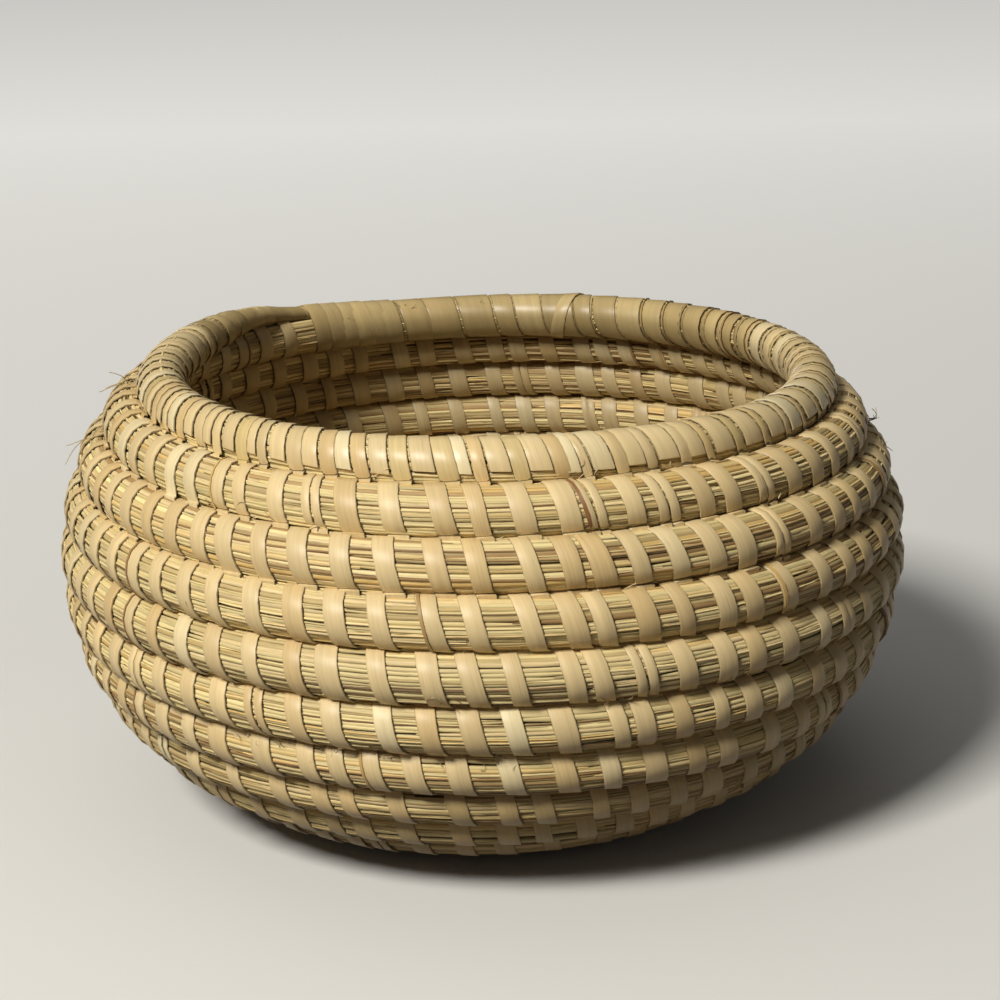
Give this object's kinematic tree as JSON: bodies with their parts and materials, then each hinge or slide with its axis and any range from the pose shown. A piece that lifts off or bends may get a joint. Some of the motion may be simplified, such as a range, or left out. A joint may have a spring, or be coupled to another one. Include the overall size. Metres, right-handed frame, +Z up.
{
  "type": "coiled basket",
  "caption": "Squat round-bellied coiled basket: a spiral bundle of dry needles sewn with flat leaf splints, with a close-wrapped rim and an open mouth.",
  "frame": {"origin": "on the floor under the middle of the basket", "axes": "+Z up through the mouth, -Y is the pictured front, the coil ends at the back left"},
  "size_m": [0.2389, 0.2387, 0.1274],
  "materials": {
    "needles": "dry, matt, fine lengthwise strands",
    "leaf_splint": "dry leaf, pale straw, slightly silky",
    "rim_splint": "dry leaf, worn smooth and slightly glossy"
  },
  "bodies": {
    "root": {"coil_round_01": "needles", "coil_round_02": "needles", "coil_round_03": "needles", "coil_round_04": "needles", "coil_round_05": "needles", "coil_round_06": "needles", "coil_round_07": "needles", "coil_round_08": "needles", "coil_round_09": "needles", "coil_round_10": "needles", "coil_round_11": "needles", "coil_round_12": "needles", "coil_round_13": "needles", "coil_round_14": "needles", "coil_round_15": "needles", "base_splint_01": "leaf_splint", "base_splint_02": "leaf_splint", "base_splint_03": "leaf_splint", "base_splint_04": "leaf_splint", "wall_splint_01": "leaf_splint", "wall_splint_02": "leaf_splint", "wall_splint_03": "leaf_splint", "wall_splint_04": "leaf_splint", "wall_splint_05": "leaf_splint", "wall_splint_06": "leaf_splint", "wall_splint_07": "leaf_splint", "wall_splint_08": "leaf_splint", "wall_splint_09": "leaf_splint", "wall_splint_10": "leaf_splint", "end_binding": "rim_splint", "rim_wrap": "rim_splint"}
  },
  "joints": []
}
